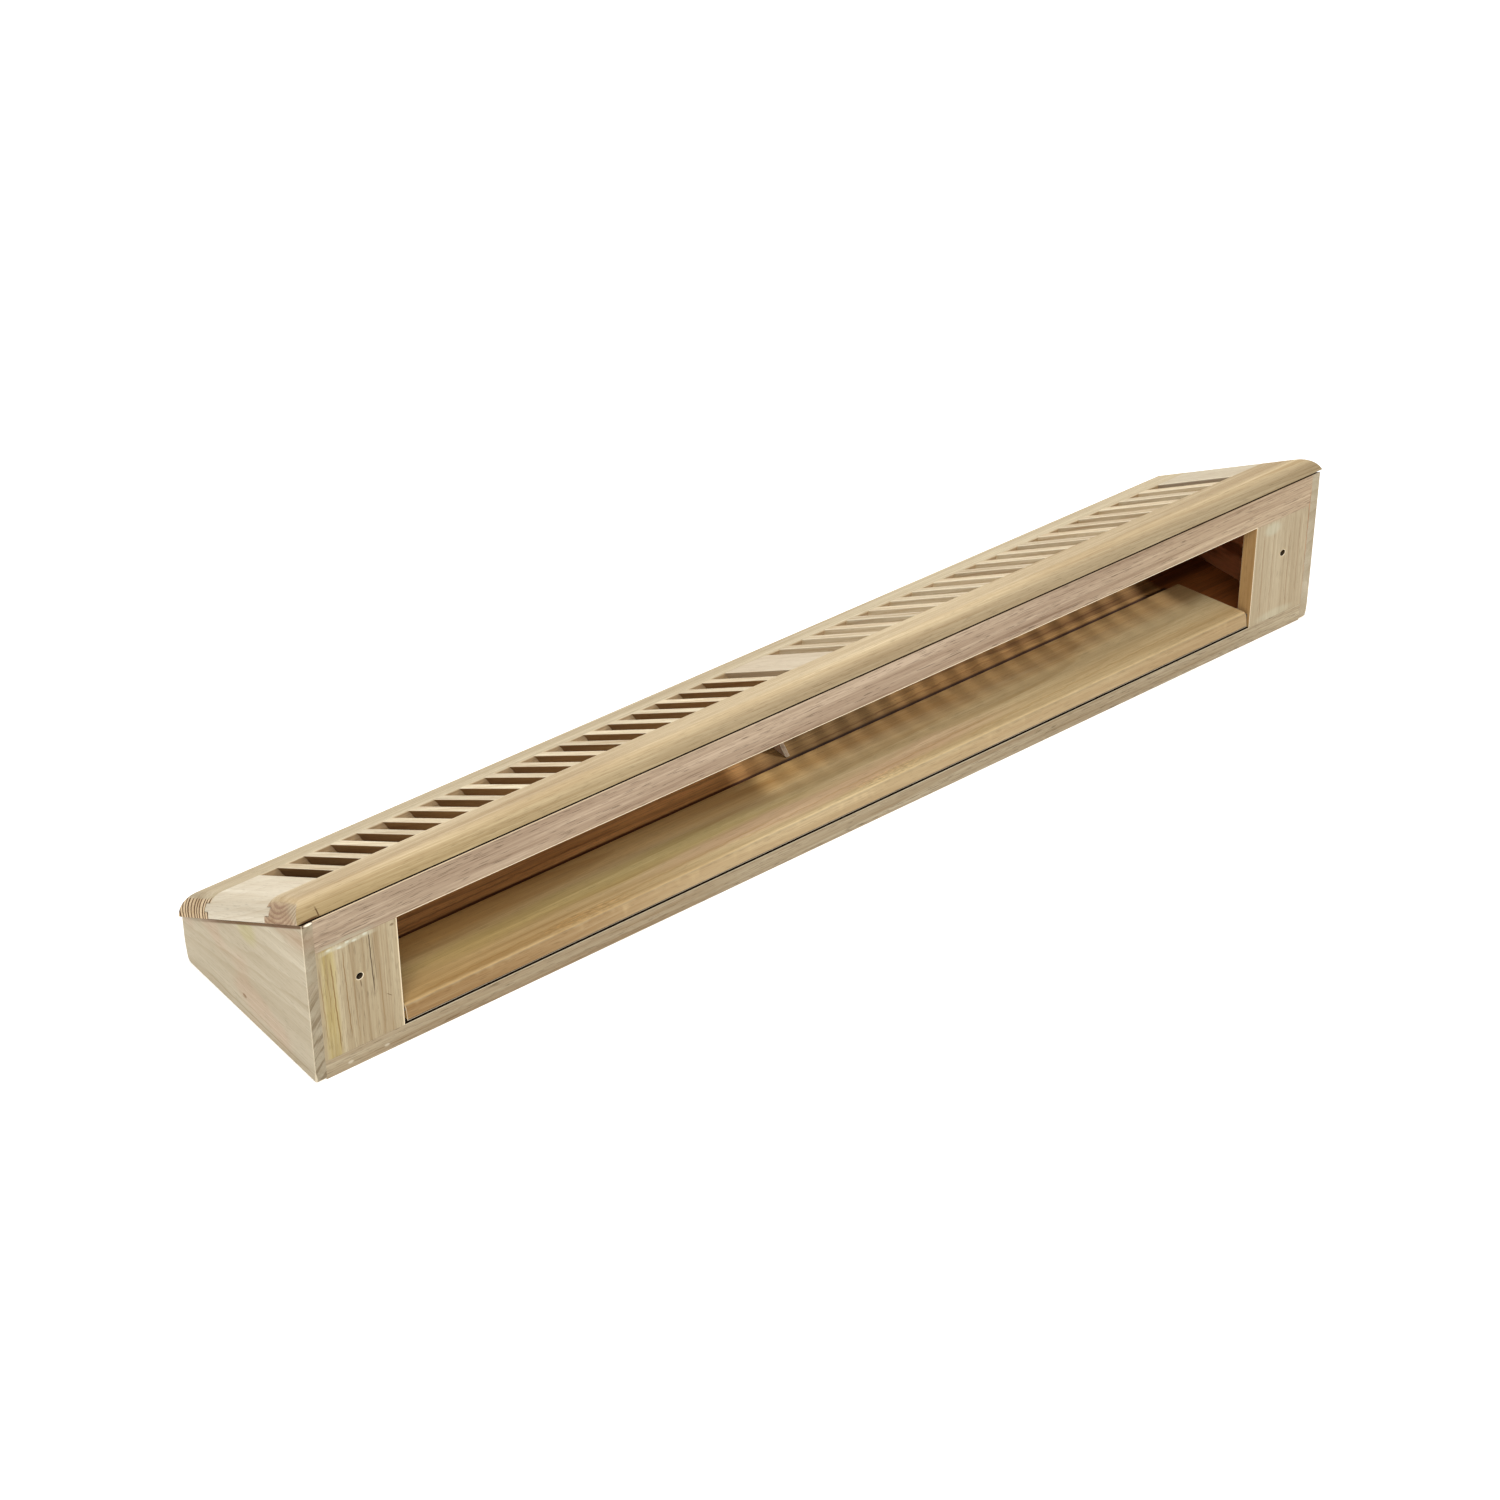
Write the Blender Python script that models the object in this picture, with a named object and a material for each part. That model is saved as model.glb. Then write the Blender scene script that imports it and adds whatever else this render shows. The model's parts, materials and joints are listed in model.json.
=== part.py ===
"""Wooden baseboard air register: a louvred grille on a wedge-shaped box with a damper flap.

Row frame: +X along the length, -Y out of the upright air opening, +Z up.
The origin is the bottom centre of the bounding box. "Left" is -X.
"""

import math

import bmesh
import bpy
from mathutils import Matrix, Vector

# ---------------------------------------------------------------- driving dimensions, metres
GAP = 0.0003                     # clearance kept between touching pieces
PANEL_LENGTH = 0.611             # louvred panel, along X
PANEL_WIDTH = 0.127              # along its slope
PANEL_THICKNESS = 0.009
PANEL_SLOPE = math.radians(29.3)
EDGE_RADIUS = 0.0108             # rounded outer edges of the panel
END_BAR_WIDTH = 0.030
RAIL_WIDTH = 0.0332              # both long rails of the panel
SLOTS_PER_SIDE = 19
SLOT_WIDTH = 0.00884
SLAT_WIDTH = 0.00527
SLAT_LEAN = math.radians(30.0)   # from the panel's normal, tops away from the middle
TONGUE_LENGTH = 0.004
TONGUE_THICKNESS = 0.003

FACE_HEIGHT = 0.0883             # upright opening face, floor to the panel's underside
BODY_LENGTH = 0.608
BODY_DEPTH = 0.111
CAP_THICKNESS = 0.0055
CAP_REAR_RADIUS = 0.004
CAP_FRONT_RADIUS = 0.0015
FRAME_THICKNESS = 0.0090
BOTTOM_RAIL_HEIGHT = 0.0099
BOTTOM_RAIL_REAR = 0.0090        # its top falls to the rear, under the open flap
OPENING_TOP = 0.0696
LEFT_STILE_WIDTH = 0.0415
RIGHT_STILE_WIDTH = 0.0371
SCREW_HOLE_RADIUS = 0.00175
SCREW_HOLE_HEIGHT = 0.0475
SCREW_HOLE_FROM_LEFT = 0.0263
SCREW_HOLE_FROM_RIGHT = 0.0223
BOARD_THICKNESS = 0.0028
TOE_THICKNESS = 0.0055
GUSSET_THICKNESS = 0.0025
GUSSET_LEFT = 0.0081
GUSSET_FRONT = 0.0642
GUSSET_RAKE = math.radians(45.0)

FLAP_END_CLEARANCE = 0.0015
FLAP_DEPTH = 0.0518
FLAP_THICKNESS = 0.0085
FLAP_NOSE = 0.0022               # from the pivot to the front edge
FLAP_BELOW_PIVOT = 0.0057        # from the pivot to the underside
FLAP_TILT = math.radians(8.2)    # rear edge down when open
FLAP_RADIUS = 0.0020
FLAP_LOW_FRONT_RADIUS = 0.0008
PIVOT_DEPTH = 0.0031             # behind the opening face
PIVOT_HEIGHT = 0.0161
PIN_RADIUS = 0.0010
PIN_IN_STILE = 0.010
PIN_IN_FLAP = 0.012

# ---------------------------------------------------------------- values that follow
ARC_DROP = EDGE_RADIUS - PANEL_THICKNESS
ARC_RUN = math.sqrt(EDGE_RADIUS ** 2 - ARC_DROP ** 2)
EDGE_OVERSHOOT = EDGE_RADIUS - ARC_RUN
PANEL_REAR = ((PANEL_WIDTH - ARC_RUN) * math.cos(PANEL_SLOPE)
              - ARC_DROP * math.sin(PANEL_SLOPE) + EDGE_RADIUS)
Y_CENTRE = PANEL_REAR / 2
HALF_PANEL = PANEL_LENGTH / 2
HALF_BODY = BODY_LENGTH / 2
INNER_HALF = HALF_BODY - CAP_THICKNESS
OPENING_LEFT = -INNER_HALF + LEFT_STILE_WIDTH
OPENING_RIGHT = INNER_HALF - RIGHT_STILE_WIDTH
FLAP_LEFT = OPENING_LEFT + FLAP_END_CLEARANCE
FLAP_RIGHT = OPENING_RIGHT - FLAP_END_CLEARANCE
SLOT_START = HALF_PANEL - END_BAR_WIDTH
SLOT_GROUP = SLOTS_PER_SIDE * SLOT_WIDTH + (SLOTS_PER_SIDE - 1) * SLAT_WIDTH
HALF_CENTRE_BAR = SLOT_START - SLOT_GROUP
BAR_FRONT = RAIL_WIDTH + GAP
BAR_REAR = PANEL_WIDTH - RAIL_WIDTH - GAP
OVERSIZE = 0.005                 # how far a blank runs past the cut that trims it


# ---------------------------------------------------------------- helpers
def clear_scene():
    for item in list(bpy.data.objects):
        bpy.data.objects.remove(item, do_unlink=True)


def wood(name, colour, roughness=0.6):
    material = bpy.data.materials.new(name)
    material.use_nodes = True
    shader = material.node_tree.nodes["Principled BSDF"]
    shader.inputs["Base Color"].default_value = (*colour, 1.0)
    shader.inputs["Roughness"].default_value = roughness
    shader.inputs["Metallic"].default_value = 0.0
    return material


def steel(name):
    material = wood(name, (0.45, 0.45, 0.46), 0.35)
    material.node_tree.nodes["Principled BSDF"].inputs["Metallic"].default_value = 1.0
    return material


def object_from_bmesh(name, mesh_builder, material=None):
    bmesh.ops.recalc_face_normals(mesh_builder, faces=mesh_builder.faces)
    mesh = bpy.data.meshes.new(name)
    mesh_builder.to_mesh(mesh)
    mesh_builder.free()
    item = bpy.data.objects.new(name, mesh)
    bpy.context.scene.collection.objects.link(item)
    if material is not None:
        mesh.materials.append(material)
    return item


def add_loft(builder, first_loop, last_loop):
    """Add one closed body between two planar loops with the same number of points."""
    first = [builder.verts.new(point) for point in first_loop]
    last = [builder.verts.new(point) for point in last_loop]
    builder.faces.new(first)
    builder.faces.new(last)
    count = len(first)
    for index in range(count):
        following = (index + 1) % count
        builder.faces.new((first[index], first[following], last[following], last[index]))


def extrude_along_x(name, outline, x_low, x_high, material):
    """A prism whose outline is a list of (y, z), y measured back from the opening face."""
    builder = bmesh.new()
    loops = [[(x, y - Y_CENTRE, z) for y, z in outline] for x in (x_low, x_high)]
    add_loft(builder, *loops)
    return object_from_bmesh(name, builder, material)


def arc(centre, radius, start_degrees, end_degrees, segments):
    points = []
    for step in range(segments + 1):
        angle = math.radians(start_degrees + (end_degrees - start_degrees) * step / segments)
        points.append((centre[0] + radius * math.cos(angle), centre[1] + radius * math.sin(angle)))
    return points


def underside(depth):
    """Height of the panel's underside, less the gap, at a depth behind the opening face."""
    return FACE_HEIGHT - depth * math.tan(PANEL_SLOPE) - GAP / math.cos(PANEL_SLOPE)


def mark_as_cutter(item):
    item.hide_render = True
    item.display_type = "WIRE"
    return item


def boolean(item, cutter, operation):
    modifier = item.modifiers.new(cutter.name, "BOOLEAN")
    modifier.operation = operation
    modifier.solver = "EXACT"
    modifier.object = cutter


def cylinder_cutter(name, ends, radius):
    """One cutter of straight round holes; ends is a list of (start, end) points."""
    builder = bmesh.new()
    for start, end in ends:
        direction = Vector(end) - Vector(start)
        place = Matrix.Translation((Vector(start) + Vector(end)) / 2)
        turn = direction.to_track_quat("Z", "Y").to_matrix().to_4x4()
        bmesh.ops.create_cone(builder, cap_ends=True, segments=24, radius1=radius, radius2=radius,
                              depth=direction.length, matrix=place @ turn)
    return mark_as_cutter(object_from_bmesh(name, builder))


# ---------------------------------------------------------------- louvred panel
def panel_empty():
    """Panel frame: X along the length, local Y down the slope, local Z out of the underside."""
    empty = bpy.data.objects.new("panel_frame", None)
    bpy.context.scene.collection.objects.link(empty)
    empty.location = (0.0, -Y_CENTRE, FACE_HEIGHT)
    empty.rotation_euler = (-PANEL_SLOPE, 0.0, 0.0)
    return empty


def rounded_blank(parent):
    """The whole panel as one slab with rounded top edges; it trims the rails and end bars."""
    half = HALF_PANEL + EDGE_OVERSHOOT
    front = -EDGE_OVERSHOOT
    rear = PANEL_WIDTH + EDGE_OVERSHOOT
    low = -2 * OVERSIZE
    loop = [(-half, front), (half, front), (half, rear), (-half, rear)]
    builder = bmesh.new()
    add_loft(builder, [(x, w, low) for x, w in loop], [(x, w, PANEL_THICKNESS) for x, w in loop])
    top_edges = [edge for edge in builder.edges
                 if all(abs(v.co.z - PANEL_THICKNESS) < GAP for v in edge.verts)]
    bmesh.ops.bevel(builder, geom=top_edges, offset=EDGE_RADIUS, segments=8, profile=0.5,
                    affect="EDGES")
    blank = mark_as_cutter(object_from_bmesh("panel_blank", builder))
    blank.parent = parent
    return blank


def side_plane(x_at_top, lean):
    """x of a slot wall as a function of height; the wall is at x_at_top on the panel's top."""
    return lambda height: x_at_top + (PANEL_THICKNESS - height) * math.tan(lean)


def tongued_outline(front, rear, top, grow=0.0):
    """(w, height) outline of a cross bar with a stub tongue at each end."""
    low = (PANEL_THICKNESS - TONGUE_THICKNESS) / 2 - grow
    high = (PANEL_THICKNESS + TONGUE_THICKNESS) / 2 + grow
    tip_front = front - TONGUE_LENGTH - grow
    tip_rear = rear + TONGUE_LENGTH + grow
    return [(front, 0.0), (rear, 0.0), (rear, low), (tip_rear, low), (tip_rear, high), (rear, high),
            (rear, top), (front, top), (front, high), (tip_front, high), (tip_front, low), (front, low)]


def cross_bar(name, left_wall, right_wall, material, parent, top=PANEL_THICKNESS):
    builder = bmesh.new()
    outline = tongued_outline(BAR_FRONT, BAR_REAR, top)
    loops = [[(wall(height), w, height) for w, height in outline] for wall in (left_wall, right_wall)]
    add_loft(builder, *loops)
    item = object_from_bmesh(name, builder, material)
    item.parent = parent
    return item


def long_rail(name, front, rear, material, parent, blank, pockets):
    half = HALF_PANEL + OVERSIZE
    low_w = front - OVERSIZE if front == 0.0 else front
    high_w = rear + OVERSIZE if rear == PANEL_WIDTH else rear
    outline = [(low_w, 0.0), (high_w, 0.0), (high_w, PANEL_THICKNESS + OVERSIZE),
               (low_w, PANEL_THICKNESS + OVERSIZE)]
    builder = bmesh.new()
    add_loft(builder, *[[(x, w, height) for w, height in outline] for x in (-half, half)])
    item = object_from_bmesh(name, builder, material)
    item.parent = parent
    boolean(item, blank, "INTERSECT")
    boolean(item, pockets, "DIFFERENCE")
    return item


def pocket_cutter(name, walls, front, rear, parent):
    """Mortises for the tongues of every cross bar, each GAP larger all round."""
    low = (PANEL_THICKNESS - TONGUE_THICKNESS) / 2 - GAP
    high = (PANEL_THICKNESS + TONGUE_THICKNESS) / 2 + GAP
    outline = [(front, low), (rear, low), (rear, high), (front, high)]
    builder = bmesh.new()
    for left_wall, right_wall in walls:
        left_loop = [(left_wall(height) - GAP, w, height) for w, height in outline]
        right_loop = [(right_wall(height) + GAP, w, height) for w, height in outline]
        add_loft(builder, left_loop, right_loop)
    cutter = mark_as_cutter(object_from_bmesh(name, builder))
    cutter.parent = parent
    return cutter


def slat_walls(side):
    """Wall pairs of the slats on one side, numbered from the end bar; side is -1 left, 1 right."""
    walls = []
    for index in range(1, SLOTS_PER_SIDE):
        outer = SLOT_START - index * SLOT_WIDTH - (index - 1) * SLAT_WIDTH
        inner = outer - SLAT_WIDTH
        low, high = sorted((side * outer, side * inner))
        lean = -side * SLAT_LEAN
        walls.append((side_plane(low, lean), side_plane(high, lean)))
    return walls


def build_panel():
    parent = panel_empty()
    blank = rounded_blank(parent)
    outside = HALF_PANEL + OVERSIZE
    left_end = (side_plane(-outside, 0.0), side_plane(-SLOT_START, SLAT_LEAN))
    right_end = (side_plane(SLOT_START, -SLAT_LEAN), side_plane(outside, 0.0))
    centre = (side_plane(-HALF_CENTRE_BAR, SLAT_LEAN), side_plane(HALF_CENTRE_BAR, -SLAT_LEAN))
    left_slats = slat_walls(-1)
    right_slats = slat_walls(1)
    walls = [left_end, centre, right_end] + left_slats + right_slats

    tongue_room = TONGUE_LENGTH + GAP
    front_pockets = pocket_cutter("front_mortises", walls, RAIL_WIDTH - tongue_room,
                                  RAIL_WIDTH + OVERSIZE, parent)
    rear_start = PANEL_WIDTH - RAIL_WIDTH
    rear_pockets = pocket_cutter("rear_mortises", walls, rear_start - OVERSIZE,
                                 rear_start + tongue_room, parent)
    long_rail("grille_upper_rail", 0.0, RAIL_WIDTH, wood("upper_rail_wood", (0.60, 0.45, 0.24)),
              parent, blank, front_pockets)
    long_rail("grille_lower_rail", rear_start, PANEL_WIDTH, wood("lower_rail_wood", (0.58, 0.46, 0.29)),
              parent, blank, rear_pockets)

    bar_wood = wood("cross_bar_wood", (0.66, 0.55, 0.38))
    tall = PANEL_THICKNESS + OVERSIZE
    for name, pair in (("grille_left_end_bar", left_end), ("grille_right_end_bar", right_end)):
        bar = cross_bar(name, *pair, bar_wood, parent, top=tall)
        boolean(bar, blank, "INTERSECT")
    cross_bar("grille_centre_bar", *centre, bar_wood, parent)

    slat_wood = wood("slat_wood", (0.64, 0.51, 0.33))
    for side_name, slats in (("left", left_slats), ("right", right_slats)):
        for number, pair in enumerate(slats, start=1):
            cross_bar(f"{side_name}_slat_{number:02d}", *pair, slat_wood, parent)


# ---------------------------------------------------------------- wedge-shaped box
def cap_outline():
    rear = (BODY_DEPTH - CAP_REAR_RADIUS, CAP_REAR_RADIUS)
    front = (CAP_FRONT_RADIUS, CAP_FRONT_RADIUS)
    outline = arc(front, CAP_FRONT_RADIUS, 180, 270, 4)
    outline += arc(rear, CAP_REAR_RADIUS, 270, 360, 6)
    outline += [(BODY_DEPTH, underside(BODY_DEPTH)), (0.0, underside(0.0))]
    return outline


def build_end_caps():
    cap_wood = wood("end_cap_wood", (0.56, 0.48, 0.35))
    extrude_along_x("left_end_cap", cap_outline(), -HALF_BODY, -INNER_HALF, cap_wood)
    extrude_along_x("right_end_cap", cap_outline(), INNER_HALF, HALF_BODY, cap_wood)


def build_opening_frame(screw_holes, pin_holes):
    low = -INNER_HALF + GAP
    high = INNER_HALF - GAP
    rail_wood = wood("frame_rail_wood", (0.50, 0.38, 0.27))
    stile_wood = wood("stile_wood", (0.54, 0.46, 0.30))
    top = [(0.0, OPENING_TOP), (FRAME_THICKNESS, OPENING_TOP),
           (FRAME_THICKNESS, underside(FRAME_THICKNESS)), (0.0, underside(0.0))]
    bottom = [(0.0, 0.0), (FRAME_THICKNESS, 0.0),
              (FRAME_THICKNESS, BOTTOM_RAIL_REAR), (0.0, BOTTOM_RAIL_HEIGHT)]
    stile_high = OPENING_TOP - GAP
    stile = [(0.0, BOTTOM_RAIL_HEIGHT + GAP), (FRAME_THICKNESS, BOTTOM_RAIL_REAR + GAP),
             (FRAME_THICKNESS, stile_high), (0.0, stile_high)]
    extrude_along_x("frame_top_rail", top, low, high, rail_wood)
    extrude_along_x("frame_bottom_rail", bottom, low, high, rail_wood)
    left = extrude_along_x("frame_left_stile", stile, low, OPENING_LEFT, stile_wood)
    right = extrude_along_x("frame_right_stile", stile, OPENING_RIGHT, high, stile_wood)
    for item in (left, right):
        boolean(item, screw_holes, "DIFFERENCE")
        boolean(item, pin_holes, "DIFFERENCE")


def build_boards():
    low = -INNER_HALF + GAP
    high = INNER_HALF - GAP
    inner_wood = wood("inner_board_wood", (0.36, 0.22, 0.11))
    toe_front = BODY_DEPTH - TOE_THICKNESS
    board_front = FRAME_THICKNESS + GAP
    board_rear = toe_front - GAP
    board = [(board_front, 0.0), (board_rear, 0.0),
             (board_rear, BOARD_THICKNESS), (board_front, BOARD_THICKNESS)]
    toe = [(toe_front, 0.0), (BODY_DEPTH, 0.0),
           (BODY_DEPTH, underside(BODY_DEPTH)), (toe_front, underside(toe_front))]
    extrude_along_x("bottom_board", board, low, high, inner_wood)
    extrude_along_x("toe_board", toe, low, high, wood("toe_wood", (0.56, 0.47, 0.33)))


def build_gusset():
    """A small upright rib that holds up the panel's centre bar behind the flap's path."""
    foot = BOARD_THICKNESS + GAP
    rear = BODY_DEPTH - TOE_THICKNESS - GAP
    rise = math.tan(GUSSET_RAKE)
    fall = math.tan(PANEL_SLOPE)
    meeting = (underside(0.0) - foot + GUSSET_FRONT * rise) / (rise + fall)
    outline = [(GUSSET_FRONT, foot), (rear, foot), (rear, underside(rear)),
               (meeting, underside(meeting))]
    extrude_along_x("centre_gusset", outline, GUSSET_LEFT, GUSSET_LEFT + GUSSET_THICKNESS,
                    wood("gusset_wood", (0.60, 0.50, 0.36)))


# ---------------------------------------------------------------- damper
def flap_outline():
    """(v, height) outline about the pivot, v towards the free rear edge."""
    front = -FLAP_NOSE
    rear = FLAP_DEPTH - FLAP_NOSE
    low = -FLAP_BELOW_PIVOT
    high = FLAP_THICKNESS - FLAP_BELOW_PIVOT
    top_front = (front + FLAP_RADIUS, high - FLAP_RADIUS)
    low_front = (front + FLAP_LOW_FRONT_RADIUS, low + FLAP_LOW_FRONT_RADIUS)
    outline = arc(top_front, FLAP_RADIUS, 90, 180, 5)
    outline += arc(low_front, FLAP_LOW_FRONT_RADIUS, 180, 270, 3)
    outline += arc((rear - FLAP_RADIUS, low + FLAP_RADIUS), FLAP_RADIUS, 270, 360, 5)
    outline += arc((rear - FLAP_RADIUS, high - FLAP_RADIUS), FLAP_RADIUS, 0, 90, 5)
    return outline


def build_damper(pin_holes):
    hinge = bpy.data.objects.new("damper_hinge", None)
    bpy.context.scene.collection.objects.link(hinge)
    hinge.location = (0.0, PIVOT_DEPTH - Y_CENTRE, PIVOT_HEIGHT)

    builder = bmesh.new()
    add_loft(builder, *[[(x, v, height) for v, height in flap_outline()]
                        for x in (FLAP_LEFT, FLAP_RIGHT)])
    flap = object_from_bmesh("damper_flap", builder, wood("flap_wood", (0.52, 0.36, 0.17)))
    flap.parent = hinge
    flap.rotation_euler = (-FLAP_TILT, 0.0, 0.0)
    boolean(flap, pin_holes, "DIFFERENCE")

    pin_steel = steel("pin_steel")
    spans = (("left_pivot_pin", OPENING_LEFT - PIN_IN_STILE, FLAP_LEFT + PIN_IN_FLAP),
             ("right_pivot_pin", FLAP_RIGHT - PIN_IN_FLAP, OPENING_RIGHT + PIN_IN_STILE))
    for name, low, high in spans:
        pin_builder = bmesh.new()
        turn = Matrix.Rotation(math.pi / 2, 4, "Y")
        bmesh.ops.create_cone(pin_builder, cap_ends=True, segments=24, radius1=PIN_RADIUS,
                              radius2=PIN_RADIUS, depth=high - low, matrix=turn)
        pin = object_from_bmesh(name, pin_builder, pin_steel)
        pin.parent = hinge
        pin.location = ((low + high) / 2, 0.0, 0.0)
        pin.data.shade_smooth()
        pin.data.set_sharp_from_angle(angle=math.radians(40.0))


def build_cutters():
    y_face = -Y_CENTRE
    y_pivot = PIVOT_DEPTH - Y_CENTRE
    screw_ends = []
    for x in (-HALF_BODY + SCREW_HOLE_FROM_LEFT, HALF_BODY - SCREW_HOLE_FROM_RIGHT):
        screw_ends.append(((x, y_face - OVERSIZE, SCREW_HOLE_HEIGHT),
                           (x, y_face + FRAME_THICKNESS + OVERSIZE, SCREW_HOLE_HEIGHT)))
    pin_ends = []
    for low, high in ((OPENING_LEFT - PIN_IN_STILE - GAP, FLAP_LEFT + PIN_IN_FLAP + GAP),
                      (FLAP_RIGHT - PIN_IN_FLAP - GAP, OPENING_RIGHT + PIN_IN_STILE + GAP)):
        pin_ends.append(((low, y_pivot, PIVOT_HEIGHT), (high, y_pivot, PIVOT_HEIGHT)))
    screw_holes = cylinder_cutter("screw_holes", screw_ends, SCREW_HOLE_RADIUS)
    pin_holes = cylinder_cutter("pin_holes", pin_ends, PIN_RADIUS + GAP)
    return screw_holes, pin_holes


def main():
    clear_scene()
    screw_holes, pin_holes = build_cutters()
    build_panel()
    build_end_caps()
    build_opening_frame(screw_holes, pin_holes)
    build_boards()
    build_gusset()
    build_damper(pin_holes)


main()
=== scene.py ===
import json
import math

import bmesh
import bpy
from mathutils import Matrix, Vector

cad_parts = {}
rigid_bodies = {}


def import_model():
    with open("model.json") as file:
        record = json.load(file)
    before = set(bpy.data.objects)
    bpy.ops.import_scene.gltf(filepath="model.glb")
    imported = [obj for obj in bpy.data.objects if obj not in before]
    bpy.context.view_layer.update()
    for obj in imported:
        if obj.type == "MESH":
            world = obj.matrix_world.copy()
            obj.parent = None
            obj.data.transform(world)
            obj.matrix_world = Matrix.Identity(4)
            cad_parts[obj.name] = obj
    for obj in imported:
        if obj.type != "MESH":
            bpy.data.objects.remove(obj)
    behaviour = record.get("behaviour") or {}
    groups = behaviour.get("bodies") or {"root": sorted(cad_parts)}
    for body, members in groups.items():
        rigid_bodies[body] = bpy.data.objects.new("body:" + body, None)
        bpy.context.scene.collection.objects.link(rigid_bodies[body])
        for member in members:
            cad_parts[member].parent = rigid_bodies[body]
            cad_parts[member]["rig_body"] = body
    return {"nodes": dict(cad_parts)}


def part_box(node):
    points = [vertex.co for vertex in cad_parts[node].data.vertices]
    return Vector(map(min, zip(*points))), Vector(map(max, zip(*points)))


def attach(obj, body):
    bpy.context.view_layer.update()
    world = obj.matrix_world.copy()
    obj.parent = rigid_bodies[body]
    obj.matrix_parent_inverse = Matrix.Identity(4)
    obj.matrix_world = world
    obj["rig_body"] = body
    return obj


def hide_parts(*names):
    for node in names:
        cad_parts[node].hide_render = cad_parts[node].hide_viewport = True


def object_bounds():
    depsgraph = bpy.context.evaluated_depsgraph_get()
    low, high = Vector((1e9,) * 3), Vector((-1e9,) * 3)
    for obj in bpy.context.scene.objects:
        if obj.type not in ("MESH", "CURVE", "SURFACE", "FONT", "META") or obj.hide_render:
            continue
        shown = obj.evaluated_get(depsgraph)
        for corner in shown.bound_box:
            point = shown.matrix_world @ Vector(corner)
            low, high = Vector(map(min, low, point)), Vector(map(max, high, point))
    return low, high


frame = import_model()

NODES = frame["nodes"]
CAD_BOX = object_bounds()
MM = 0.001
PER_MM = 1000.0
CAD_GAP = 0.3 * MM               # what the CAD leaves between touching boards
JOINT_LINE = 0.03 * MM           # what stays open at a glued joint
CLOSING = CAD_GAP - JOINT_LINE
SHADOW_GAP = 0.45 * MM           # the extra dark line between the panel and the box
TONGUE = 4.0 * MM                # how far slats and bars reach into the panel's rails
SLATS_PER_SIDE = 18


# ---------------------------------------------------------------- directions and places
def largest_face_normal(node):
    """Unit normal of the largest flat area that faces up."""
    mesh = NODES[node].data
    best = max((p for p in mesh.polygons if p.normal.z > 0.5), key=lambda p: p.area)
    return best.normal.copy()


PANEL_NORMAL = largest_face_normal("grille_centre_bar")
ALONG = Vector((1.0, 0.0, 0.0))
DOWN_SLOPE = ALONG.cross(PANEL_NORMAL) * -1.0
BACK = Vector((0.0, 1.0, 0.0))
UP = Vector((0.0, 0.0, 1.0))
FACE_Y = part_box("frame_top_rail")[0].y
LEFT_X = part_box("left_end_cap")[0].x
RIGHT_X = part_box("right_end_cap")[1].x


def centre_of(node):
    low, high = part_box(node)
    return (low + high) / 2


# ---------------------------------------------------------------- eased copies of the boards
def refined(node, ease_mm, eased=None, stretch=(), segments=3, rounded=None,
            round_mm=1.0, cuts=()):
    """A copy of a CAD board with eased edges; stretch moves end planes to close glued joints.

    cuts are places along X where the long edges are split, so one stretch of them can be eased.
    """
    builder = bmesh.new()
    builder.from_mesh(NODES[node].data)
    bmesh.ops.remove_doubles(builder, verts=builder.verts, dist=1e-6)
    bmesh.ops.dissolve_limit(builder, angle_limit=math.radians(0.5), verts=builder.verts,
                             edges=builder.edges)
    for direction, old, new in stretch:
        for vertex in builder.verts:
            if abs(vertex.co.dot(direction) - old) < 0.02 * MM:
                vertex.co += direction * (new - old)
    for cut in cuts:
        bmesh.ops.bisect_plane(builder, geom=builder.verts[:] + builder.edges[:] + builder.faces[:],
                               dist=1e-6, plane_co=(cut, 0.0, 0.0), plane_no=ALONG)
    if rounded is not None:
        chosen = [e for e in builder.edges if e.calc_face_angle() > math.radians(60) and rounded(e)]
        bmesh.ops.bevel(builder, geom=chosen, offset=round_mm * MM, segments=4, profile=0.5,
                        affect="EDGES", clamp_overlap=True)
    edges = [e for e in builder.edges if len(e.link_faces) == 2
             and e.calc_face_angle() > math.radians(20) and (eased is None or eased(e))]
    marks = builder.faces.layers.float.new("arris")
    if edges:
        made = bmesh.ops.bevel(builder, geom=edges, offset=ease_mm * MM, segments=segments,
                               profile=0.5, affect="EDGES", clamp_overlap=True)
        for face in made["faces"]:
            face[marks] = 1.0
    for face in builder.faces:
        face.smooth = True
    for edge in builder.edges:
        edge.smooth = len(edge.link_faces) == 2 and edge.calc_face_angle() < math.radians(35)
    mesh = bpy.data.meshes.new("visual_" + node)
    builder.to_mesh(mesh)
    builder.free()
    board = bpy.data.objects.new("visual_" + node, mesh)
    bpy.context.scene.collection.objects.link(board)
    normals = board.modifiers.new("normals", "WEIGHTED_NORMAL")
    normals.keep_sharp = True
    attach(board, NODES[node]["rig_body"])
    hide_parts(node)
    return board


def lies_on(edge, direction, value):
    return all(abs(v.co.dot(direction) - value) < 0.05 * MM for v in edge.verts)


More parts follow.
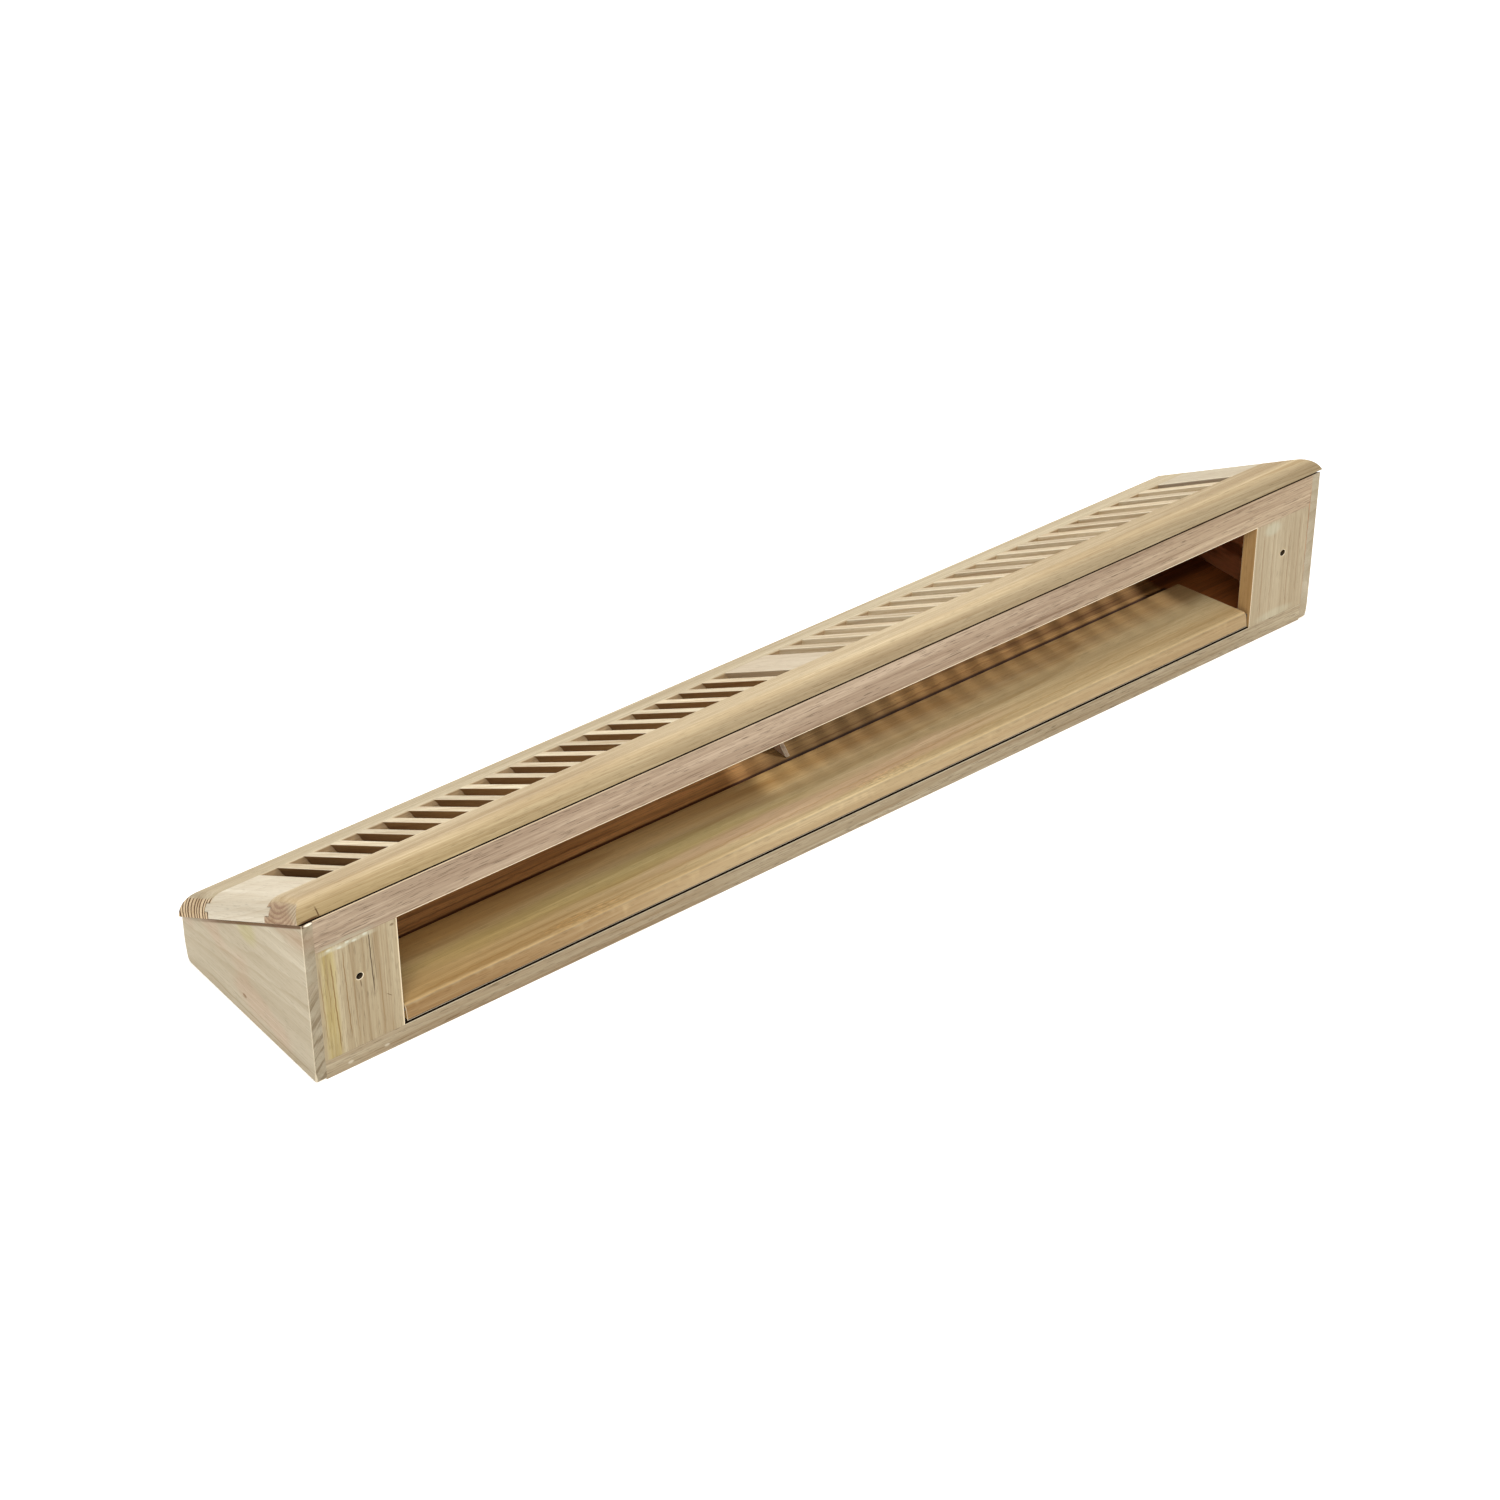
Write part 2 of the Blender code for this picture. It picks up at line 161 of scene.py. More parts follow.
# ---------------------------------------------------------------- node helper
class Graph:
    """A material under construction. Every method returns a socket."""

    def __init__(self, name):
        self.material = bpy.data.materials.new(name)
        self.material.use_nodes = True
        self.tree = self.material.node_tree
        self.shader = self.tree.nodes["Principled BSDF"]

    def put(self, socket, value):
        if isinstance(value, bpy.types.NodeSocket):
            self.tree.links.new(value, socket)
        elif isinstance(value, (tuple, list)) and len(value) == 3 and socket.type == "RGBA":
            socket.default_value = (*value, 1.0)
        else:
            socket.default_value = value

    def node(self, kind, inputs=(), out=0, **settings):
        made = self.tree.nodes.new(kind)
        for key, value in settings.items():
            setattr(made, key, value)
        for key, value in dict(inputs).items():
            self.put(made.inputs[key], value)
        return made.outputs[out]

    def math(self, operation, *values):
        return self.node("ShaderNodeMath", dict(enumerate(values)), operation=operation)

    def sum(self, *values):
        total = values[0]
        for value in values[1:]:
            total = self.math("ADD", total, value)
        return total

    def times(self, *values):
        total = values[0]
        for value in values[1:]:
            total = self.math("MULTIPLY", total, value)
        return total

    def sway(self, value, span):
        """Recentres a 0-1 value on 0 and stretches it to span."""
        return self.times(self.math("SUBTRACT", value, 0.5), span)

    def dot(self, vector, axis):
        return self.node("ShaderNodeVectorMath", {0: vector, 1: tuple(axis)}, "Value",
                         operation="DOT_PRODUCT")

    def join(self, x, y, z):
        return self.node("ShaderNodeCombineXYZ", {0: x, 1: y, 2: z})

    def noise(self, vector, scale=1.0, detail=2.0, roughness=0.5):
        return self.node("ShaderNodeTexNoise", {"Vector": vector, "Scale": scale, "Detail": detail,
                                                "Roughness": roughness})

    def step(self, value, low, high):
        """Rises smoothly from 0 at low to 1 at high; falls when low is above high."""
        return self.node("ShaderNodeMapRange", {"Value": value, "From Min": low, "From Max": high},
                         interpolation_type="SMOOTHSTEP")

    def band(self, value, low, high, soft):
        rise = self.step(value, low - soft, low + soft)
        fall = self.step(value, high + soft, high - soft)
        return self.times(rise, fall)

    def toned(self, colour, multiplier):
        return self.mix(1.0, colour, multiplier, "MULTIPLY")

    def tint(self, factor, colour, multiplier):
        """Multiplies colour by multiplier where factor is 1."""
        return self.mix(factor, colour, self.toned(colour, multiplier))

    def stroke(self, u, v, start, end, width, wobble=0.0):
        """1 along a thin line between two places in the (u, v) plane, all in mm."""
        du, dv = end[0] - start[0], end[1] - start[1]
        length = math.hypot(du, dv)
        du, dv = du / length, dv / length
        u, v = self.sum(u, -start[0]), self.sum(v, -start[1])
        along = self.sum(self.times(u, du), self.times(v, dv))
        off = self.sum(self.times(u, -dv), self.times(v, du))
        if wobble:
            bend = self.noise(self.join(self.times(along, 0.12), start[0], start[1]), 1.0, 2.0)
            off = self.sum(off, self.sway(bend, 2.0 * wobble))
        line = self.step(self.math("ABSOLUTE", off), width, 0.25 * width)
        soft = min(4.0, length / 4)
        return self.times(line, self.band(along, 0.0, length, soft))

    def spot(self, u, v, centre, radii):
        """1 inside an ellipse in the (u, v) plane, all in mm."""
        u = self.times(self.sum(u, -centre[0]), 1.0 / radii[0])
        v = self.times(self.sum(v, -centre[1]), 1.0 / radii[1])
        away = self.math("SQRT", self.sum(self.times(u, u), self.times(v, v)))
        return self.step(away, 1.25, 0.5)

    def curve(self, value, points):
        """A grey ramp through (position, level) points."""
        made = self.tree.nodes.new("ShaderNodeValToRGB")
        self.put(made.inputs[0], value)
        ramp = made.color_ramp
        ramp.elements[0].position, ramp.elements[1].position = points[0][0], points[-1][0]
        for position, _ in points[1:-1]:
            ramp.elements.new(position)
        for element, (position, level) in zip(ramp.elements, points):
            element.position = position
            element.color = (level, level, level, 1.0)
        return made.outputs[0]

    def mix(self, factor, first, second, blend="MIX"):
        made = self.tree.nodes.new("ShaderNodeMix")
        made.data_type = "RGBA"
        made.blend_type = blend
        self.put(made.inputs[0], factor)
        self.put(made.inputs[6], first)
        self.put(made.inputs[7], second)
        return made.outputs[2]

    def ink(self, u, v, colour, strokes, tone, wobble):
        """Draws thin (start, end, width, strength) strokes in one tone."""
        for start, end, width, strength in strokes:
            line = self.stroke(u, v, start, end, width, wobble)
            colour = self.mix(self.times(line, strength), colour, tone)
        return colour


def srgb(red, green, blue):
    """Linear colour from 0-255 display values."""
    levels = [value / 255 for value in (red, green, blue)]
    return tuple(v / 12.92 if v <= 0.04045 else ((v + 0.055) / 1.055) ** 2.4 for v in levels)


# ---------------------------------------------------------------- wood
CORNER = Vector((LEFT_X, FACE_Y, CAD_BOX[0].z))


class Figure(Graph):
    """Wood under construction. x, y and z are millimetres from CORNER, and ride with the piece."""

    def __init__(self, name):
        super().__init__(name)
        spot = self.node("ShaderNodeTexCoord", out="Object")
        spot = self.node("ShaderNodeVectorMath", {0: spot, 1: tuple(CORNER)}, operation="SUBTRACT")
        self.spot_mm = self.node("ShaderNodeVectorMath", {0: spot, 1: (PER_MM, PER_MM, PER_MM)},
                                 operation="MULTIPLY")
        self.x = self.dot(self.spot_mm, ALONG)
        self.y = self.dot(self.spot_mm, BACK)
        self.z = self.dot(self.spot_mm, UP)
        self.normal = self.node("ShaderNodeTexCoord", out="Normal")

    def facing(self, direction, low=0.7, high=0.95):
        """1 where the board's own surface faces a direction, wherever the board has turned."""
        return self.step(self.dot(self.normal, direction), low, high)

    def under_panel_top(self):
        """Millimetres below the sloping panel's top face."""
        return self.sum(PANEL_TOP_MM, self.times(self.dot(self.spot_mm, PANEL_NORMAL), -1.0))


def wood(name, light, dark, grain, up, pith_mm=(30.0, -60.0), drift=(0.0, 0.0), ring_mm=3.0,
         ring=0.5, wander_mm=2.0, streak=0.5, pore=0.4, pore_scale=1.0, tone=0.5, seed=0.0,
         origin=(0.0, 0.0, 0.0), end_dark=0.25, end_ring=0.0, end_colour=(0.10, 0.05, 0.025),
         end_rise=(0.30, 0.72), arris=0.4, marks=None, shine=0.35):
    """Solid wood figure. grain is the fibre direction; up is a direction across it.

    pith_mm is where the tree's centre lies across the board (side, up) from origin, drift how
    that place slides per millimetre of grain, which draws long arches on flat faces. ring,
    streak, pore, tone, end_dark and end_ring are strengths; arris is the strength of the
    painted highlight on eased edges. marks adds local features.
    """
    g = Figure(name)
    shift = (Vector(origin) - CORNER) * PER_MM
    place = g.node("ShaderNodeVectorMath", {0: g.spot_mm, 1: tuple(shift)}, operation="SUBTRACT")
    side = Vector(up).cross(Vector(grain)).normalized()
    a = g.dot(place, grain)
    b = g.dot(place, side)
    c = g.dot(place, up)

    slow = g.join(g.times(a, 0.006), g.sum(g.times(b, 0.035), seed), g.times(c, 0.035))
    wander = g.sway(g.noise(slow, 1.0, 2.0), 2.0 * wander_mm)
    fine = g.join(g.times(a, 0.03), g.sum(g.times(b, 0.25), seed + 3.1), g.times(c, 0.25))
    shiver = g.sway(g.noise(fine, 1.0, 2.0), 0.35 * wander_mm)
    across = g.sum(b, -pith_mm[0], g.times(a, drift[0]))
    rise = g.sum(c, -pith_mm[1], g.times(a, drift[1]))
    radius = g.math("SQRT", g.sum(g.times(across, across), g.times(rise, rise)))
    radius = g.sum(radius, wander, shiver)
    count = g.times(radius, 1.0 / ring_mm)
    uneven = g.noise(g.join(g.times(count, 0.45), seed + 7.7, 0.0), 1.0, 1.0)
    count = g.sum(count, g.times(uneven, 1.6))
    phase = g.math("FRACT", count)
    late = g.curve(phase, [(0.0, 0.05), (0.35, 0.12), (0.72, 0.55), (0.90, 1.0), (0.97, 0.85),
                           (1.0, 0.05)])
    year = g.node("ShaderNodeTexWhiteNoise", {"W": g.sum(g.math("FLOOR", count), seed)},
                  noise_dimensions="1D")
    late = g.times(late, g.sum(0.45, g.times(year, 0.75)))

    fibre = g.noise(g.join(g.times(a, 0.02), g.sum(g.times(b, 1.4), seed), g.times(c, 1.4)), 1.0,
                    4.0, 0.65)
    coarse = g.noise(g.join(g.times(a, 0.012), g.sum(g.times(b, 0.42), seed + 2.3),
                            g.times(c, 0.42)), 1.0, 2.0)
    broad = g.noise(g.join(g.times(a, 0.005), g.sum(g.times(b, 0.09), seed + 1.7),
                           g.times(c, 0.09)), 1.0, 2.0)
    cells = g.noise(g.join(g.times(a, 0.16 * pore_scale),
                           g.sum(g.times(b, 2.6 * pore_scale), seed + 5.0),
                           g.times(c, 2.6 * pore_scale)), 1.0, 1.0)
    early = g.math("SUBTRACT", 1.0, g.times(late, 0.7))
    pores = g.times(g.step(cells, 0.58, 0.68), early)

    factor = g.sum(g.times(late, ring), g.sway(fibre, streak * 2.4), g.sway(coarse, streak * 1.6),
                   g.sway(broad, tone * 2.0))
    factor = g.math("MINIMUM", g.math("MAXIMUM", factor, -0.45), 1.3)
    colour = g.mix(g.sum(factor, 0.25), tuple(v * 1.04 for v in light), dark)
    colour = g.tint(g.step(factor, -0.05, -0.45), colour, (1.12, 1.13, 1.16))
    shadow = tuple(v * 0.40 for v in dark)
    colour = g.mix(g.times(pores, pore), colour, shadow)

    end = g.step(g.math("ABSOLUTE", g.dot(g.normal, grain)), 0.35, 0.65)
    colour = g.tint(g.times(end, end_dark), colour, (0.62, 0.50, 0.40))
    if end_ring:
        dense = g.times(g.step(phase, *end_rise), g.step(phase, 1.0, 0.90))
        rings = g.times(end, end_ring, dense, g.sum(0.5, fibre))
        colour = g.mix(rings, colour, end_colour)
    height = g.sum(g.times(fibre, 0.5), g.times(late, 0.3), g.times(pores, -0.8))
    if marks is not None:
        colour, height = marks(g, colour, height)
    # Painted highlight: eased edges are mixed towards pale cream, scaled by arris.
    edge = g.node("ShaderNodeAttribute", out="Fac", attribute_name="arris")
    edge_highlight = g.times(edge, g.sum(0.35, g.times(coarse, 1.3)), arris)
    colour = g.mix(g.math("MINIMUM", edge_highlight, 1.0), colour, srgb(243, 229, 200))

    g.put(g.shader.inputs["Base Color"], colour)
    g.put(g.shader.inputs["Roughness"],
          g.sum(0.52, g.times(fibre, 0.16), g.times(pores, 0.15), g.times(end, 0.12)))
    g.shader.inputs["Specular IOR Level"].default_value = shine
    bump = g.node("ShaderNodeBump", {"Height": height, "Strength": 0.35, "Distance": 0.12 * MM})
    g.put(g.shader.inputs["Normal"], bump)
    return g.material


def paint(board, material):
    board.data.materials.clear()
    board.data.materials.append(material)


# ---------------------------------------------------------------- panel
def runs_down(edge):
    """True for a long edge that runs down the slope."""
    run = (edge.verts[0].co - edge.verts[1].co).normalized()
    return abs(run.dot(DOWN_SLOPE)) > 0.99 and edge.calc_length() > 30 * MM


def shoulder_gaps(node):
    """Moves a cross bar's shoulders up to the rails."""
    rows = sorted({round(v.co.dot(DOWN_SLOPE), 6) for v in NODES[node].data.vertices})
    front_shoulder = min(rows, key=lambda w: abs(w - (rows[0] + TONGUE)))
    rear_shoulder = min(rows, key=lambda w: abs(w - (rows[-1] - TONGUE)))
    return ((DOWN_SLOPE, front_shoulder, front_shoulder - CLOSING),
            (DOWN_SLOPE, rear_shoulder, rear_shoulder + CLOSING))


PANEL_TOP_MM = PER_MM * max((v.co - CORNER).dot(PANEL_NORMAL)
                            for v in NODES["grille_centre_bar"].data.vertices)


def depth_shade(g, colour, where=1.0):
    """Painted shade: slot walls darken with depth below the panel's top."""
    depth = g.under_panel_top()
    colour = g.tint(g.times(g.step(depth, 0.15, 0.7), where), colour, (0.50, 0.42, 0.35))
    return g.tint(g.times(g.step(depth, 2.0, 9.0), where), colour, (0.62, 0.52, 0.42))


def soft_depth_shade(g, colour):
    """Slot walls that lean open catch more light."""
    depth = g.under_panel_top()
    colour = g.tint(g.step(depth, 0.15, 0.7), colour, (0.78, 0.71, 0.63))
    return g.tint(g.step(depth, 3.0, 10.0), colour, (0.66, 0.58, 0.50))


def under_shade(g, colour):
    """Painted shade on the panel's underside."""
    return g.tint(g.facing(-PANEL_NORMAL), colour, (0.30, 0.19, 0.12))


def left_slot_marks(g, colour, height):
    """Painted shade: walls that overhang are the darkest."""
    wall = g.step(g.dot(g.normal, ALONG), -0.4, -0.7)
    colour = g.tint(wall, colour, (0.76, 0.58, 0.35))
    return under_shade(g, depth_shade(g, colour)), height


def right_slot_marks(g, colour, height):
    colour = g.tint(g.facing(PANEL_NORMAL), colour, (0.88, 0.84, 0.80))
    return under_shade(g, soft_depth_shade(g, colour)), height


def left_end_marks(g, colour, height):
    return under_shade(g, depth_shade(g, colour, g.facing(ALONG, 0.3, 0.6))), height


def right_end_marks(g, colour, height):
    colour = g.tint(1.0, colour, (0.80, 0.78, 0.74))
    return under_shade(g, depth_shade(g, colour, g.facing(-ALONG, 0.3, 0.6))), height


def upper_rail_marks(g, colour, height):
    """Honey-toned towards the left, with a nick at its left end."""
    colour = under_shade(g, depth_shade(g, colour, g.facing(DOWN_SLOPE)))
    front = g.step(g.dot(g.normal, BACK), 0.35, -0.65)
    honey = g.times(front, g.step(g.x, 300.0, 10.0))
    colour = g.tint(honey, colour, (0.98, 0.92, 0.76))
    # Painted shade: the rounded front faces are darker than the top.
    colour = g.tint(front, colour, (0.53, 0.52, 0.50))
    colour = g.tint(g.step(g.x, 360.0, 560.0), colour, (0.87, 0.86, 0.84))
    end = g.facing(-ALONG, 0.35, 0.65)
    colour = g.tint(end, colour, (1.00, 1.03, 1.12))
    low = g.times(end, g.step(g.z, 89.5, 86.0))
    colour = g.tint(low, colour, (0.90, 0.80, 0.78))
    nick = g.stroke(g.x, g.z, (0.0, 88.5), (9.2, 88.5), 0.6, 0.2)
    tick = g.stroke(g.x, g.z, (9.2, 88.0), (9.4, 91.0), 0.5)
    dark = g.times(front, g.math("MAXIMUM", nick, tick))
    return g.mix(g.times(dark, 0.85), colour, srgb(70, 42, 20)), height


def lower_rail_marks(g, colour, height):
    colour = g.tint(g.facing(-ALONG, 0.35, 0.65), colour, (1.26, 1.16, 1.10))
    return under_shade(g, depth_shade(g, colour, g.facing(-DOWN_SLOPE))), height


def dress_panel():
    cream = srgb(220, 209, 186)
    cream_dark = srgb(190, 168, 132)
    for node in ("grille_upper_rail", "grille_lower_rail"):
        board = refined(node, 0.25, eased=lambda e: False)
        if node == "grille_upper_rail":
            material = wood(node, srgb(206, 187, 152), srgb(160, 130, 90), ALONG, PANEL_NORMAL,
                            pith_mm=(-6.0, 16.0), drift=(0.03, 0.02), ring_mm=1.9, ring=0.22,
                            pore=0.3, streak=0.40, tone=0.6, seed=1.3, origin=centre_of(node),
                            wander_mm=1.2, end_dark=0.0, end_ring=0.40,
                            end_colour=srgb(134, 98, 78), shine=0.08, marks=upper_rail_marks)
        else:
            material = wood(node, srgb(204, 189, 158), srgb(162, 138, 102), ALONG, PANEL_NORMAL,
                            pith_mm=(26.0, -14.0), drift=(0.03, 0.01), ring_mm=3.0, ring=0.25,
                            wander_mm=0.8, pore=0.3, streak=0.45, tone=0.5, seed=8.2,
                            origin=centre_of(node), end_dark=0.0, end_ring=2.0,
                            end_colour=srgb(74, 46, 24), end_rise=(0.55, 0.80), shine=0.08,
                            marks=lower_rail_marks)
        paint(board, material)
    bars = {"grille_left_end_bar": left_end_marks, "grille_right_end_bar": right_end_marks,
            "grille_centre_bar": right_slot_marks}
    for index, (node, marks) in enumerate(bars.items()):
        board = refined(node, 0.25, eased=runs_down, stretch=shoulder_gaps(node))
        paint(board, wood(node, cream, cream_dark, DOWN_SLOPE, PANEL_NORMAL,
                          pith_mm=(8.0, -45.0), drift=(0.0, 0.10), ring_mm=2.6, ring=0.25,
                          pore=0.2, streak=0.35, tone=0.3, seed=20.0 + index,
                          origin=centre_of(node), arris=0.8, marks=marks))
    for side, marks in (("left", left_slot_marks), ("right", right_slot_marks)):
        for number in range(1, SLATS_PER_SIDE + 1):
            node = f"{side}_slat_{number:02d}"
            board = refined(node, 0.25, eased=runs_down, stretch=shoulder_gaps(node))
            shade = 0.94 + 0.08 * math.sin(number * 2.4 + (1.0 if side == "left" else 0.0))
            light = tuple(v * shade for v in srgb(228, 214, 182))
            deep = tuple(v * shade for v in srgb(186, 156, 112))
            paint(board, wood(node, light, deep, DOWN_SLOPE, PANEL_NORMAL,
                              pith_mm=(20.0, -30.0 - number), drift=(0.02, 0.06), ring_mm=2.4,
                              ring=0.4, pore=0.25, streak=0.5, tone=0.5,
                              seed=31.7 * number + (400.0 if side == "left" else 0.0),
                              origin=centre_of(node), arris=0.8, marks=marks))


# ---------------------------------------------------------------- box
def under_panel(node):
    """Opens the dark line between the panel and the board that carries it."""
    top = max(v.co.dot(PANEL_NORMAL) for v in NODES[node].data.vertices)
    return (PANEL_NORMAL, top, top - SHADOW_GAP)


def overhang_shade(g, colour):
    """Painted shadow: a soft dark line just under the panel's overhanging end."""
    depth = g.under_panel_top()
    near_front = g.step(g.y, 112.0, 60.0)
    return g.tint(g.times(g.step(depth, 11.7, 10.9), near_front), colour, (0.34, 0.22, 0.13))


def shaded_top(g, colour):
    """Painted shade on the edge that carries the panel, less dark towards the right."""
    faint = g.step(g.x, 240.0, 340.0)
    shade = g.mix(faint, (0.16, 0.11, 0.08), (0.42, 0.31, 0.21))
    return g.tint(g.facing(PANEL_NORMAL, 0.80, 0.97), colour, shade)


def left_cap_marks(g, colour, height):
    colour = shaded_top(g, colour)
    soft = g.noise(g.join(0.0, g.times(g.y, 0.028), g.times(g.z, 0.045)), 1.0, 1.0)
    colour = g.tint(g.step(soft, 0.50, 0.68), colour, (1.02, 0.93, 0.92))
    colour = g.tint(g.spot(g.y, g.z, (50.0, 55.0), (9.0, 8.0)), colour, (0.97, 0.99, 0.80))
    colour = g.tint(g.spot(g.y, g.z, (58.0, 13.0), (1.8, 1.1)), colour, (0.60, 0.50, 0.40))
    low = g.stroke(g.y, g.z, (2.0, 4.6), (92.0, 5.6), 0.45, 0.8)
    high = g.stroke(g.y, g.z, (2.0, 8.4), (92.0, 10.0), 0.35, 1.0)
    colour = g.tint(g.sum(g.times(low, 0.7), g.times(high, 0.4)), colour, (0.70, 0.62, 0.52))
    colour = overhang_shade(g, colour)
    front = g.facing(-BACK, 0.6, 0.9)
    # Painted shade: the front face is darker than the end face.
    colour = g.tint(front, colour, (0.63, 0.62, 0.60))
    slant = g.sum(g.times(g.z, 0.28), g.times(g.x, -0.34))
    hatch = g.noise(g.join(slant, g.times(g.x, 0.08), 0.0), 1.0, 3.0)
    lower = g.sum(0.35, g.times(0.65, g.step(g.z, 60.0, 36.0)))
    colour = g.tint(g.times(front, lower, g.step(hatch, 0.46, 0.60)), colour, (0.66, 0.60, 0.54))
    chip = g.times(front, g.spot(g.x, g.z, (3.4, 86.6), (2.4, 0.8)))
    colour = g.mix(chip, colour, srgb(244, 232, 208))
    # Painted shade on the inner face, inside the box.
    return g.tint(g.facing(ALONG), colour, (0.40, 0.24, 0.16)), height


def right_cap_marks(g, colour, height):
    colour = shaded_top(g, colour)
    # Painted shade on the inner face: dark, patchy red-brown inside the box.
    cloud = g.noise(g.join(g.times(g.y, 0.03), g.times(g.z, 0.12), 3.0), 1.0, 2.0)
    deep = g.tint(g.step(cloud, 0.42, 0.62), colour, (0.42, 0.34, 0.30))
    inside = g.toned(deep, (1.30, 0.60, 0.36))
    # Painted shade: the front face is darker than the end face.
    colour = g.tint(g.facing(-BACK, 0.6, 0.9), colour, (0.74, 0.72, 0.70))
    return g.mix(g.facing(-ALONG), colour, inside), height


def dress_caps():
    floor_level = CAD_BOX[0].z
    for node, seed, marks, outside in (("left_end_cap", 2.0, left_cap_marks, LEFT_X),
                                       ("right_end_cap", 9.0, right_cap_marks, RIGHT_X)):
        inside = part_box(node)[1 if marks is left_cap_marks else 0].x
        lowered = under_panel(node)
        top = lowered[2]
        board = refined(node, 0.45, stretch=(lowered,), round_mm=1.35,
                        eased=lambda e: not lies_on(e, ALONG, inside)
                        and not lies_on(e, PANEL_NORMAL, top),
                        rounded=lambda e: all(abs(v.co.x - outside) < 0.01 * MM
                                              and v.co.z < floor_level + 6 * MM for v in e.verts))
        paint(board, wood(node, srgb(196, 184, 159), srgb(163, 144, 112), BACK, ALONG,
                          pith_mm=(-34.0, 14.0), drift=(0.22, 0.05), ring_mm=7.0, ring=0.28,
                          wander_mm=9.0, pore=0.25, streak=0.22, tone=0.5, seed=seed,
                          origin=centre_of(node), end_dark=0.0, shine=0.15, marks=marks))


LEFT_HOLE = (26.3, 47.5)         # (x, z) of each screw hole's centre, in mm
RIGHT_HOLE = (585.7, 47.5)


def screw_hole(g, colour, centre):
    """Painted shade inside the hole, with a slightly lighter rim around it."""
    bore_shade = g.times(g.spot(g.x, g.z, centre, (2.6, 2.6)),
                      g.step(g.dot(g.normal, BACK), -0.55, -0.2))
    rim = g.spot(g.x, g.z, centre, (3.4, 3.4))
    colour = g.tint(g.times(rim, 0.6), colour, (1.14, 1.12, 1.06))
    return g.mix(bore_shade, colour, srgb(30, 18, 10))


def left_stile_marks(g, colour, height):
    """A greenish band, dark streaks, a crack, a drip and a line of old putty."""
    u, v = g.x, g.z
    wobble = g.sway(g.noise(g.join(g.times(v, 0.05), 2.0, 0.0), 1.0, 2.0), 3.0)
    green = g.band(g.sum(u, wobble), 7.5, 14.6, 1.4)
    fleck = g.noise(g.join(g.times(u, 0.9), g.times(v, 0.05), 0.0), 1.0, 2.0)
    colour = g.tint(g.times(green, g.sum(0.25, fleck)), colour, (1.00, 0.97, 0.64))
    colour = g.ink(u, v, colour, (((8.0, 20.0), (6.6, 60.0), 0.40, 0.5),
                                  ((14.2, 14.0), (12.6, 62.0), 0.50, 0.8),
                                  ((20.0, 18.0), (18.8, 64.0), 0.40, 0.7),
                                  ((10.9, 30.0), (10.4, 56.0), 0.30, 0.5),
                                  ((37.2, 12.0), (36.4, 50.0), 0.40, 0.35),
                                  ((24.0, 12.0), (23.2, 40.0), 0.35, 0.35)),
                   srgb(122, 92, 50), 0.7)
    crack = g.stroke(u, v, (33.0, 36.0), (32.3, 69.0), 0.38, 0.35)
    beside = g.stroke(u, v, (34.6, 42.0), (34.0, 66.0), 0.30, 0.35)
    colour = g.mix(g.sum(g.times(crack, 0.9), g.times(beside, 0.4)), colour, srgb(60, 40, 20))
    scratch = g.stroke(u, v, (39.2, 31.4), (41.4, 29.4), 0.35)
    knot = g.spot(u, v, (44.2, 67.2), (1.1, 0.8))
    drip = g.stroke(u, v, (26.4, 45.6), (26.7, 41.6), 0.45, 0.2)
    dark = g.math("MAXIMUM", g.math("MAXIMUM", scratch, knot), drip)
    colour = g.mix(g.times(dark, 0.65), colour, srgb(86, 60, 32))
    colour = g.tint(g.step(u, 30.0, 40.0), colour, (1.10, 1.12, 1.15))
    glue = g.times(g.stroke(u, v, (9.0, 67.6), (35.0, 68.4), 1.7, 1.2), 0.6)
    colour = g.mix(glue, colour, srgb(188, 180, 156))
    for spot in ((12.0, 68.4), (17.5, 67.4), (21.5, 68.6), (25.0, 67.8), (30.5, 68.8)):
        colour = g.mix(g.times(g.spot(u, v, spot, (1.3, 0.7)), 0.5), colour, srgb(206, 208, 190))
    height = g.sum(height, g.times(crack, -1.5))
    # Painted highlight along the stile's edge at the opening.
    rim = g.times(g.band(u, 46.35, 60.0, 0.12), g.facing(-BACK, 0.5, 0.9))
    colour = g.mix(g.times(rim, 0.7), colour, srgb(236, 216, 176))
    return screw_hole(g, colour, LEFT_HOLE), height


def right_stile_marks(g, colour, height):
    """Calmer than the left stile, with pale patches."""
    u, v = g.x, g.z
    colour = g.ink(u, v, colour, (((572.0, 14.0), (571.4, 62.0), 0.45, 0.45),
                                  ((578.6, 12.0), (578.2, 66.0), 0.40, 0.40),
                                  ((590.5, 12.0), (590.0, 58.0), 0.55, 0.40),
                                  ((597.0, 20.0), (596.8, 66.0), 0.45, 0.45)),
                   srgb(128, 96, 58), 0.7)
    pale = g.math("MAXIMUM", g.spot(u, v, (577.0, 65.0), (6.0, 4.0)),
                  g.times(g.spot(u, v, (583.0, 12.0), (14.0, 3.0)), 0.6))
    colour = g.mix(g.times(pale, 0.45), colour, srgb(186, 184, 160))
    # Painted warm shade on the reveal that faces the opening.
    colour = g.tint(g.facing(-ALONG), colour, (1.02, 0.78, 0.50))
    return screw_hole(g, colour, RIGHT_HOLE), height


